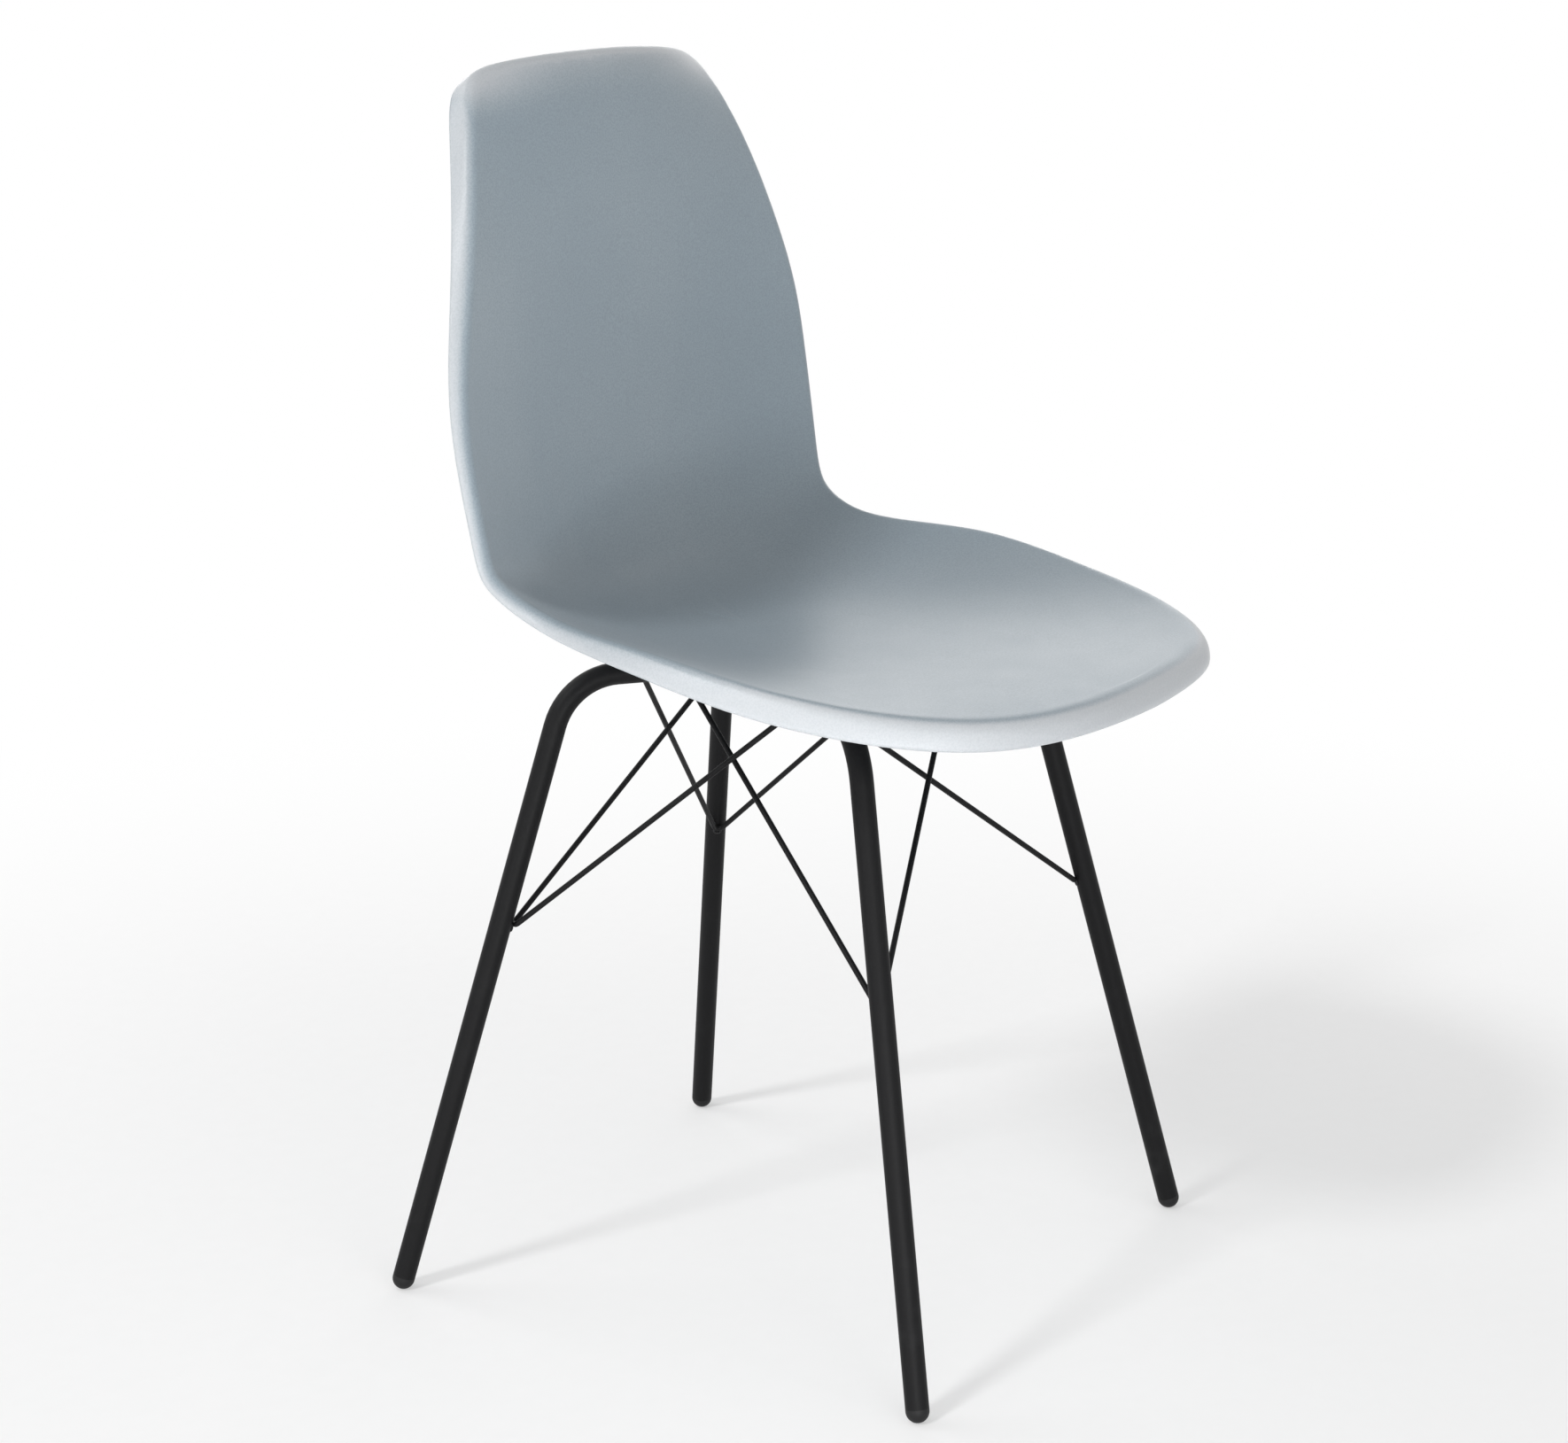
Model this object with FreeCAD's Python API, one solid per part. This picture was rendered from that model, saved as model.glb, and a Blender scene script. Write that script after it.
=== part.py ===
import FreeCAD, Part
import math
import os

os.makedirs("parts", exist_ok=True)

Vector = FreeCAD.Vector

# Moulded plastic shell chair on a welded tube and wire frame.
# Millimetres. Z is up, the floor is at zero and the sitter looks along minus Y.
# The origin is on the floor, under the middle of the chair's overall width and length.

# Shell, as stations down the middle of the chair from the top edge to the front edge.
# Each one: distance behind the origin, height above the cushion washers it is screwed down on,
# half the width, how far the side edges stand proud of the middle towards the sitter, and how
# deep the lip that the edge rolls over into is there.
shell_stations = [
    (182.4, 405.0, 151.6, -21.5, 21.3),
    (173.4, 334.1, 171.7, -0.6, 17.0),
    (176.8, 248.9, 203.1, 18.5, 13.3),
    (175.9, 178.0, 217.9, 24.2, 10.8),
    (173.5, 104.7, 216.5, 32.2, 9.6),
    (158.9, 53.9, 212.5, 34.7, 10.0),
    (99.7, 19.9, 209.8, 35.9, 12.3),
    (8.8, 10.1, 228.6, 36.3, 17.1),
    (-84.2, 10.8, 223.2, 19.4, 19.8),
    (-180.6, 11.7, 190.9, 4.3, 18.6),
    (-233.6, 11.2, 179.9, 1.4, 16.8),
]
# The side edges rise late, so that the middle of the seat and back stays nearly flat.
dish_power = 2.4
# Rounding of the top and front corners: the share of the length it takes up,
# then how square it is across the chair and along it.
top_corner_share = 0.126
top_squareness_across = 15.9
top_squareness_along = 2.08
front_corner_share = 0.191
front_squareness_across = 1.34
front_squareness_along = 2.96
shell_wall = 4.0
# The edge rolls over and ends in a lip with a rounded rim. The roll is wider along the front.
roll_radius = 7.7
front_roll_radius = 14.8
roll_angle = 84.0
# Share of the length over which the edge turns from the one roll into the other.
roll_widens_from = 0.74
roll_widens_over = 0.2
# Where the rings that make up the skins gather, as a share of the length.
ring_centre = 0.63
# Points on half the outline, and how much length one full turn of direction counts for.
outline_points = 57
turn_weight = 750.0
# Steps in which the straight part of the outline is walked.
side_steps = 100
# Where the rings lie: on the open surface, then over the rolled edge and lip, then round the rim.
surface_shares = [0.0, 0.15, 0.3, 0.45, 0.6, 0.73, 0.84, 0.92, 0.97, 1.0]
edge_shares = [0.07, 0.14, 0.21, 0.28, 0.36, 0.50, 0.66, 0.83, 1.0]
rim_angles = [30, 60, 90]

# Frame tube and its four bent legs.
tube_radius = 8.0
tube_wall = 1.5
foot_spread_x = 205.0
foot_spread_y = 208.0
# The feet stand evenly about a point behind the origin, as the seat overhangs the front feet.
feet_centre_y = 30.0
bar_height = 440.7
# The four seat bars point at one centre, which lies behind the middle of the feet.
hub_y = 61.4
hub_gap = 17.0
front_bar_reach = 196.0
rear_bar_reach = 140.7
leg_bend_radius = 48.0

# Wire braces: one bent rod to each leg, its two arms welded under the bars of the next legs.
rod_radius = 2.0
rod_bend_radius = 4.0
# The bend is pressed this far into its leg before it is cut to the round of the tube.
weld_bite = 0.2
brace_height = 260.5
# Arms of one diagonal pair of braces are welded further in, so that they pass behind the others.
outer_side_setback = 85.0
outer_cross_setback = 56.0
inner_side_setback = 96.0
inner_cross_setback = 70.0
# How far round the bar each arm lands, measured from straight below.
side_arm_angle = 27.0
cross_arm_angle = 53.0
# The arms run this far into the weld before they are cut to the round of the bar.
weld_reach = 3.0

# Foot plugs: the round end has a small flat that stands on the floor.
foot_flat_radius = 2.5
plug_neck = 1.6
spigot_length = 16.0
spigot_clearance = 0.1
spigot_chamfer = 1.0

# Steel plate welded on the bars, with the screws that hold the shell.
screw_spacing_x = 120.0
screw_spacing_y = 50.0
plate_side_margin = 15.0
plate_end_margin = 17.0
plate_thickness = 4.0
plate_corner_radius = 12.0
screw_radius = 3.0
screw_length = 16.0
screw_clearance_hole = 3.3
head_radius = 5.25
head_height = 3.3
head_corner = 1.2
hex_socket_flats = 4.0
hex_socket_depth = 2.1
washer_radius = 6.0
washer_thickness = 1.6
cushion_radius = 9.0
cushion_thickness = 2.0

# Bosses under the shell with threaded brass inserts.
boss_radius = 9.0
insert_radius = 4.0
insert_length = 10.0
insert_pocket_space = 0.8
insert_collar_radius = 5.0
insert_collar_height = 1.0
thread_clearance = 0.05

corners = [
    ("front_right", -1, -1),
    ("front_left", 1, -1),
    ("rear_right", -1, 1),
    ("rear_left", 1, 1),
]

foot_centre_height = math.sqrt(tube_radius ** 2 - foot_flat_radius ** 2)
hub = Vector(0, hub_y, bar_height)
plate_width = screw_spacing_x + 2 * plate_side_margin
plate_depth = screw_spacing_y + 2 * plate_end_margin
plate_bottom = bar_height + tube_radius
plate_top = plate_bottom + plate_thickness
boss_bottom = plate_top + cushion_thickness

screw_places = [
    (sx * screw_spacing_x / 2, hub_y + sy * screw_spacing_y / 2)
    for name, sx, sy in corners
]


def unit(vector):
    """The same direction with a length of one."""
    return vector.multiply(1.0 / vector.Length)


def cylinder_between(start, end, radius):
    """A round bar from one point to another."""
    return Part.makeCylinder(radius, (end - start).Length, start, end - start)


def save(shape, node):
    """Write one sub-part to its own file."""
    shape.exportStep("parts/" + node + ".step")


# Seat shell

def guide_curve(points):
    """A smooth curve through one point for each shell station."""
    shares = [k / (len(points) - 1) for k in range(len(points))]
    curve = Part.BSplineCurve()
    curve.interpolate(Points=points, Parameters=shares)
    return curve


shell_spine = guide_curve([
    Vector(0, behind, boss_bottom + rise)
    for behind, rise, width, lift, lip in shell_stations
])
shell_sides = guide_curve([
    Vector(width, lift, lip)
    for behind, rise, width, lift, lip in shell_stations
])


def shell_point(along, across):
    """A point on the sitter's side of the shell."""
    middle = shell_spine.value(along)
    run = shell_spine.tangent(along)[0]
    side = shell_sides.value(along)
    lift = side.y * abs(across) ** dish_power
    return Vector(side.x * across, middle.y + run.z * lift, middle.z - run.y * lift)


def shell_normal(along, across):
    """The direction from the shell towards the sitter."""
    step = 0.001
    down = shell_point(along + step, across) - shell_point(along - step, across)
    over = shell_point(along, across + step) - shell_point(along, across - step)
    return unit(down.cross(over))


def rounded_corner(share, square_across, square_along, turn):
    """How far along and across the outline is at one angle of a rounded corner."""
    across = math.sin(turn) ** (2 / square_across)
    along = share * (1 - math.cos(turn) ** (2 / square_along))
    return along, across


def outline_half():
    """Places on the left half of the outline, from the top round to the front."""
    turns = [math.radians(angle) for angle in range(0, 91)]
    top = []
    front = []
    for turn in turns:
        top.append(rounded_corner(
            top_corner_share, top_squareness_across, top_squareness_along, turn))
        along, across = rounded_corner(
            front_corner_share, front_squareness_across, front_squareness_along, turn)
        front.append((1 - along, across))
    front.reverse()
    side_share = 1 - top_corner_share - front_corner_share
    side = [(top_corner_share + side_share * k / side_steps, 1.0) for k in range(1, side_steps)]
    return top + side + front


def spread_out(places, count):
    """The same line of places with a new count, closer together where the line turns."""
    length = shell_spine.length()
    flat = [Vector(a * length, c * shell_sides.value(a).x, 0) for a, c in places]
    travelled = [0.0]
    for k in range(1, len(flat)):
        step = flat[k] - flat[k - 1]
        bend = 0.0
        if k > 1:
            bend = step.getAngle(flat[k - 1] - flat[k - 2])
        travelled.append(travelled[-1] + step.Length + turn_weight * bend / (2 * math.pi))
    result = []
    for n in range(count):
        wanted = travelled[-1] * n / (count - 1)
        k = 1
        while k < len(places) - 1 and travelled[k] < wanted:
            k += 1
        share = (wanted - travelled[k - 1]) / (travelled[k] - travelled[k - 1])
        along = places[k - 1][0] + (places[k][0] - places[k - 1][0]) * share
        across = places[k - 1][1] + (places[k][1] - places[k - 1][1]) * share
        result.append((along, across))
    return result


def full_outline():
    """The whole outline as a closed ring of places, left side first."""
    half = spread_out(outline_half(), outline_points)
    mirrored = [(along, -across) for along, across in half[1:-1]]
    mirrored.reverse()
    return half + mirrored


def smooth_step(value):
    """Zero below nought, one above one and an even blend between."""
    value = min(max(value, 0.0), 1.0)
    return value * value * (3 - 2 * value)


def edge_profile(edge, normal, outwards, radius, depth, share):
    """A point part of the way over the rolled edge and down its lip, and the way it faces there."""
    turn = math.radians(roll_angle)
    rolled_length = radius * turn
    rolled_depth = radius * (1 - math.cos(turn))
    straight_length = (depth - rolled_depth) / math.sin(turn) - shell_wall / 2
    distance = (rolled_length + straight_length) * share
    angle = min(distance / radius, turn)
    beyond = max(distance - rolled_length, 0.0)
    facing = outwards * math.sin(angle) + normal * math.cos(angle)
    onwards = outwards * math.cos(angle) - normal * math.sin(angle)
    return edge - normal * radius + facing * radius + onwards * beyond, facing, onwards


def skin_rings(outline):
    """Rings of points over the sitter's side and over the underside, from the middle to the rim."""
    count = len(outline)
    edge = [shell_point(along, across) for along, across in outline]
    normals = [shell_normal(along, across) for along, across in outline]
    outwards = [unit(normals[k].cross(edge[(k + 1) % count] - edge[k - 1])) for k in range(count)]
    widening = [smooth_step((along - roll_widens_from) / roll_widens_over) for along, across in outline]
    radii = [roll_radius + (front_roll_radius - roll_radius) * share for share in widening]
    depths = [shell_sides.value(along).z for along, across in outline]
    upper = []
    lower = []
    for share in surface_shares:
        upper_ring = []
        lower_ring = []
        for along, across in outline:
            place = ring_centre + (along - ring_centre) * share
            point = shell_point(place, across * share)
            normal = shell_normal(place, across * share)
            upper_ring.append(point)
            lower_ring.append(point - normal * shell_wall)
        upper.append(upper_ring)
        lower.append(lower_ring)
    for share in edge_shares:
        upper_ring = []
        lower_ring = []
        for k in range(count):
            point, facing, onwards = edge_profile(
                edge[k], normals[k], outwards[k], radii[k], depths[k], share)
            upper_ring.append(point)
            lower_ring.append(point - facing * shell_wall)
        upper.append(upper_ring)
        lower.append(lower_ring)
    for rim_angle in rim_angles:
        sideways = math.cos(math.radians(rim_angle)) * shell_wall / 2
        down = math.sin(math.radians(rim_angle)) * shell_wall / 2
        upper_ring = []
        lower_ring = []
        for k in range(count):
            point, facing, onwards = edge_profile(
                edge[k], normals[k], outwards[k], radii[k], depths[k], 1.0)
            crest = point - facing * shell_wall / 2 + onwards * down
            upper_ring.append(crest + facing * sideways)
            lower_ring.append(crest - facing * sideways)
        upper.append(upper_ring)
        lower.append(lower_ring)
    return upper, lower


def skin_face(rings, around):
    """A smooth face through closed rings, the first of which is one point."""
    count = len(rings[0])
    rows = [[rings[0][0]] * count]
    for ring in rings[1:]:
        curve = Part.BSplineCurve()
        curve.interpolate(Points=ring, PeriodicFlag=True, Parameters=around)
        rows.append(curve.getPoles())
    outwards = [0.0]
    for k in range(1, len(rings)):
        gaps = [(rings[k][i] - rings[k - 1][i]).Length for i in range(count)]
        outwards.append(outwards[-1] + sum(gaps) / count)
    columns = []
    for i in range(count):
        curve = Part.BSplineCurve()
        curve.interpolate(Points=[row[i] for row in rows], Parameters=outwards)
        columns.append(curve)
    surface = Part.BSplineSurface()
    surface.buildFromPolesMultsKnots(
        [column.getPoles() for column in columns],
        [1] * (count + 1),
        columns[0].getMultiplicities(),
        around,
        columns[0].getKnots(),
        True,
        False,
        3,
        3,
    )
    return surface.toShape()


def ring_shares(ring):
    """How far round a closed ring each of its points lies, from nought to one."""
    travelled = [0.0]
    for k in range(1, len(ring) + 1):
        travelled.append(travelled[-1] + (ring[k % len(ring)] - ring[k - 1]).Length)
    return [length / travelled[-1] for length in travelled]


def bare_shell():
    """The shell before its bosses are added. Both skins end on the crest of the rim."""
    upper, lower = skin_rings(full_outline())
    around = ring_shares(upper[-1])
    closed = Part.makeShell([skin_face(upper, around), skin_face(lower, around)])
    closed.sewShape()
    solid = Part.Solid(closed)
    if solid.Volume < 0:
        solid.reverse()
    return solid


def shell_place(x, y):
    """How far along and across the shell the seat lies over one place."""
    low = 0.5
    high = 0.9
    for step in range(40):
        middle = (low + high) / 2
        across = x / shell_sides.value(middle).x
        if shell_point(middle, across).y > y:
            low = middle
        else:
            high = middle
    return low, x / shell_sides.value(low).x


def boss(x, y):
    """A round boss from the cushion washer up into the wall of the shell, cut along its slope."""
    along, across = shell_place(x, y)
    normal = shell_normal(along, across)
    wall_middle = shell_point(along, across) - normal * shell_wall / 2
    foot = Vector(x, y, boss_bottom)
    tall = Part.makeCylinder(boss_radius, wall_middle.z - boss_bottom + boss_radius, foot)
    above = Part.makeCylinder(3 * boss_radius, 3 * boss_radius, wall_middle, normal)
    return tall.cut(above)


def seat_shell():
    """The moulded shell with four bosses under the seat, each with a stepped insert pocket."""
    shell = bare_shell()
    for x, y in screw_places:
        shell = shell.fuse(boss(x, y))
    for x, y in screw_places:
        foot = Vector(x, y, boss_bottom)
        pocket = Part.makeCylinder(insert_radius, insert_length + insert_pocket_space, foot)
        collar = Part.makeCylinder(insert_collar_radius, insert_collar_height, foot)
        shell = shell.cut(pocket.fuse(collar))
    return shell


# Frame

def leg_points(sx, sy):
    """Foot, bend corner and inner end of one leg's centre line."""
    foot = Vector(sx * foot_spread_x, feet_centre_y + sy * foot_spread_y, foot_centre_height)
    level = Vector(foot.x - hub.x, foot.y - hub.y, 0)
    outwards = unit(level)
    reach = front_bar_reach if sy < 0 else rear_bar_reach
    corner = hub + outwards * reach
    inner = hub + outwards * hub_gap
    return foot, corner, inner


def bent_path(start, corner, end, radius):
    """Two straight runs joined by a bend, with the lengths left on each run."""
    first = unit(start - corner)
    second = unit(end - corner)
    half = first.getAngle(second) / 2
    setback = radius / math.tan(half)
    inwards = unit(first + second)
    middle = corner + inwards * (radius / math.sin(half) - radius)
    bend_start = corner + first * setback
    bend_end = corner + second * setback
    edges = [
        Part.makeLine(start, bend_start),
        Part.Arc(bend_start, middle, bend_end).toShape(),
        Part.makeLine(bend_end, end),
    ]
    return Part.Wire(edges)


def swept_bar(path, radius):
    """A round bar along a path."""
    first = path.Edges[0]
    start = first.valueAt(first.FirstParameter)
    direction = first.tangentAt(first.FirstParameter)
    circle = Part.Wire([Part.makeCircle(radius, start, direction)])
    return path.makePipeShell([circle], True, False)


def tube_start(sx, sy):
    """The lower end of a leg tube, just above the round of its foot plug."""
    foot, corner, inner = leg_points(sx, sy)
    return foot + unit(corner - foot) * plug_neck


def leg_outside(sx, sy):
    """The leg as a solid bar."""
    foot, corner, inner = leg_points(sx, sy)
    path = bent_path(tube_start(sx, sy), corner, inner, leg_bend_radius)
    return swept_bar(path, tube_radius)


def leg_tube(sx, sy):
    """The leg as an open tube."""
    foot, corner, inner = leg_points(sx, sy)
    path = bent_path(tube_start(sx, sy), corner, inner, leg_bend_radius)
    bore = swept_bar(path, tube_radius - tube_wall)
    return swept_bar(path, tube_radius).cut(bore)


def foot_plug(sx, sy):
    """A rounded foot with a short neck and a spigot that fills the tube end."""
    foot, corner, inner = leg_points(sx, sy)
    up = unit(corner - foot)
    ball = Part.makeSphere(tube_radius, foot)
    above = Part.makeCylinder(tube_radius * 2, tube_radius * 2, foot, up)
    below_floor = Part.makeBox(
        tube_radius * 4, tube_radius * 4, tube_radius * 2,
        Vector(foot.x - tube_radius * 2, foot.y - tube_radius * 2, -tube_radius * 2))
    round_end = ball.cut(above).cut(below_floor)
    neck = Part.makeCylinder(tube_radius, plug_neck, foot, up)
    spigot_radius = tube_radius - tube_wall - spigot_clearance
    spigot_end = foot + up * (plug_neck + spigot_length)
    spigot = cylinder_between(foot, spigot_end - up * spigot_chamfer, spigot_radius)
    tip = Part.makeCone(
        spigot_radius, spigot_radius - spigot_chamfer, spigot_chamfer,
        spigot_end - up * spigot_chamfer, up)
    return round_end.fuse([neck, spigot, tip]).removeSplitter()


def arm_end(sx, sy, origin, setback, angle):
    """Where a brace arm from the origin lands on the bar of the leg at (sx, sy)."""
    foot, corner, inner = leg_points(sx, sy)
    outwards = unit(corner - hub)
    place = corner - outwards * setback
    sideways = Vector(-outwards.y, outwards.x, 0)
    if sideways.dot(origin - place) < 0:
        sideways = sideways * -1
    turn = math.radians(angle)
    facing = sideways * math.sin(turn) - Vector(0, 0, math.cos(turn))
    return place + facing * tube_radius


def brace(sx, sy):
    """One wire brace, bent round where it is welded to its leg."""
    foot, corner, inner = leg_points(sx, sy)
    rise = (brace_height - foot.z) / (corner.z - foot.z)
    axis_point = foot + (corner - foot) * rise
    outer = sx * sy > 0
    side_setback = outer_side_setback if outer else inner_side_setback
    cross_setback = outer_cross_setback if outer else inner_cross_setback
    side_end = arm_end(sx, -sy, axis_point, side_setback, side_arm_angle)
    cross_end = arm_end(-sx, sy, axis_point, cross_setback, cross_arm_angle)
    run = unit(corner - foot)
    level = Vector(hub.x - foot.x, hub.y - foot.y, 0)
    inwards = unit(level - run * level.dot(run))
    apex = axis_point
    for attempt in range(4):
        side_run = unit(side_end - apex)
        cross_run = unit(cross_end - apex)
        half = side_run.getAngle(cross_run) / 2
        bend_gap = rod_bend_radius / math.sin(half) - rod_bend_radius
        bend_shift = unit(side_run + cross_run).dot(inwards) * bend_gap
        apex = axis_point + inwards * (tube_radius + rod_radius - weld_bite - bend_shift)
    side_end = side_end + unit(side_end - apex) * weld_reach
    cross_end = cross_end + unit(cross_end - apex) * weld_reach
    rod = swept_bar(bent_path(side_end, apex, cross_end, rod_bend_radius), rod_radius)
    for other_x, other_y in ((sx, sy), (sx, -sy), (-sx, sy)):
        rod = rod.cut(leg_outside(other_x, other_y))
    return max(rod.Solids, key=lambda solid: solid.Volume)


# Mounting hardware

def mounting_plate():
    """Flat plate with rounded corners and four clearance holes."""
    corner = Vector(-plate_width / 2, hub_y - plate_depth / 2, plate_bottom)
    plate = Part.makeBox(plate_width, plate_depth, plate_thickness, corner)
    upright = [edge for edge in plate.Edges if edge.BoundBox.ZLength > plate_thickness / 2]
    plate = plate.makeFillet(plate_corner_radius, upright)
    for x, y in screw_places:
        hole = Part.makeCylinder(screw_clearance_hole, plate_thickness, Vector(x, y, plate_bottom))
        plate = plate.cut(hole)
    return plate


def ring(x, y, bottom, outer, inner, height):
    """A flat ring standing on a given level."""
    foot = Vector(x, y, bottom)
    return Part.makeCylinder(outer, height, foot).cut(Part.makeCylinder(inner, height, foot))


def screw(x, y):
    """A button head screw driven up from below, with a hexagon socket."""
    bearing = plate_bottom - washer_thickness
    shank = Part.makeCylinder(screw_radius, screw_length, Vector(x, y, bearing))
    foot = Vector(x, y, bearing - head_height)
    head = Part.makeCylinder(head_radius, head_height, foot)
    lower = [edge for edge in head.Edges if edge.BoundBox.ZMax < foot.z + head_height / 2]
    head = head.makeFillet(head_corner, lower)
    corner_reach = hex_socket_flats / 2 / math.cos(math.radians(30))
    points = []
    for k in range(7):
        angle = math.radians(60 * k)
        reach = Vector(math.cos(angle), math.sin(angle), 0) * corner_reach
        points.append(foot + reach)
    hexagon = Part.Face(Part.makePolygon(points))
    socket = hexagon.extrude(Vector(0, 0, hex_socket_depth))
    return shank.fuse(head).cut(socket).removeSplitter()


def insert(x, y):
    """A threaded insert with a collar at its open end."""
    bore = screw_radius + thread_clearance
    body = Part.makeCylinder(insert_radius, insert_length, Vector(x, y, boss_bottom))
    collar = Part.makeCylinder(insert_collar_radius, insert_collar_height, Vector(x, y, boss_bottom))
    hole = Part.makeCylinder(bore, insert_length, Vector(x, y, boss_bottom))
    return body.fuse(collar).cut(hole).removeSplitter()


save(seat_shell(), "seat_shell")
save(mounting_plate(), "mounting_plate")
for name, sx, sy in corners:
    save(leg_tube(sx, sy), "leg_" + name)
    save(foot_plug(sx, sy), "foot_" + name)
    save(brace(sx, sy), "brace_" + name)
for (name, sx, sy), (x, y) in zip(corners, screw_places):
    cushion = ring(x, y, plate_top, cushion_radius, screw_clearance_hole, cushion_thickness)
    save(cushion, "cushion_" + name)
save(Part.makeCompound([insert(x, y) for x, y in screw_places]), "threaded_inserts")
save(Part.makeCompound([screw(x, y) for x, y in screw_places]), "shell_screws")
washer_bottom = plate_bottom - washer_thickness
washers = [
    ring(x, y, washer_bottom, washer_radius, screw_clearance_hole, washer_thickness)
    for x, y in screw_places
]
save(Part.makeCompound(washers), "screw_washers")
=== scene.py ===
"""Studio scene of a moulded plastic shell chair on a black tube and wire frame."""

import logging
import math
from dataclasses import dataclass
from enum import Enum
from typing import Any, Union

import bpy
from mathutils import Matrix, Vector


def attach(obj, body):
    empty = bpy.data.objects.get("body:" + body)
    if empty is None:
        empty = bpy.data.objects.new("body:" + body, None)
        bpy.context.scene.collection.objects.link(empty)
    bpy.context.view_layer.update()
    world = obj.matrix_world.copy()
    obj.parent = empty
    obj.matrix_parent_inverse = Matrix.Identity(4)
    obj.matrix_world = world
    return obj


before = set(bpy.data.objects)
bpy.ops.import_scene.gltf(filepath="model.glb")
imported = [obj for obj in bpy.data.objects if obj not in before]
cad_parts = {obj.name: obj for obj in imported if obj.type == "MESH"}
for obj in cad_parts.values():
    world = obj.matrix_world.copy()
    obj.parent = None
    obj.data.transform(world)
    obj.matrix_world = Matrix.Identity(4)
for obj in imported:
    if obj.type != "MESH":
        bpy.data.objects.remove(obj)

LOG = logging.getLogger("shell_chair")
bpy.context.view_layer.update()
WHITE = (1.0, 1.0, 1.0, 1.0)
Colour = tuple[float, float, float]
Place = tuple[float, float, float]


class Side(Enum):
    """The four corners of the frame, as the sitter names them."""

    FRONT_RIGHT = "front_right"
    FRONT_LEFT = "front_left"
    REAR_RIGHT = "rear_right"
    REAR_LEFT = "rear_left"

    def signs(self) -> tuple[int, int]:
        """Which way the corner lies across and along the chair."""
        return (1 if self.value.endswith("left") else -1, 1 if self.value.startswith("rear") else -1)

    def neighbours(self) -> list["Side"]:
        """The two corners next to this one."""
        across, along = self.signs()
        return [s for s in Side if (s.signs()[0] == across) != (s.signs()[1] == along)]


class Slot(Enum):
    """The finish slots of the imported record."""

    SHELL = "shell_plastic"
    FRAME = "frame_paint"
    FOOT = "foot_plastic"
    CUSHION = "cushion_rubber"
    INSERT = "insert_brass"
    SCREW = "screw_steel"


class Signal:
    """One output socket of a shader node, which takes part in arithmetic."""

    def __init__(self, bench: "ShaderBench", socket: bpy.types.NodeSocket) -> None:
        """Wrap a socket.

        Args:
            bench: The shader that the socket belongs to.
            socket: The output socket.
        """
        self.bench = bench
        self.socket = socket

    def _combine(self, operation: str, first: Any, second: Any) -> "Signal":
        """Add one Math node.

        Args:
            operation: The Math node's operation.
            first: A signal or number.
            second: A signal or number.

        Returns:
            The node's result.
        """
        return self.bench.add("ShaderNodeMath", {"operation": operation}, {0: first, 1: second})

    def __add__(self, other: Any) -> "Signal":
        """This plus another."""
        return self._combine("ADD", self, other)

    def __radd__(self, other: Any) -> "Signal":
        """Another plus this."""
        return self._combine("ADD", other, self)

    def __sub__(self, other: Any) -> "Signal":
        """This less another."""
        return self._combine("SUBTRACT", self, other)

    def __rsub__(self, other: Any) -> "Signal":
        """Another less this."""
        return self._combine("SUBTRACT", other, self)

    def __mul__(self, other: Any) -> "Signal":
        """This times another."""
        return self._combine("MULTIPLY", self, other)

    def most(self, other: Any) -> "Signal":
        """The larger of this and another."""
        return self._combine("MAXIMUM", self, other)

    def ramp(self, low: float, high: float) -> "Signal":
        """Zero at low, one at high and smooth between.

        Args:
            low: The value that gives zero.
            high: The value that gives one.

        Returns:
            The smoothed signal.
        """
        settings = {"interpolation_type": "SMOOTHSTEP"}
        inputs = {"Value": self, "From Min": low, "From Max": high}
        return self.bench.add("ShaderNodeMapRange", settings, inputs, "Result")


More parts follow.
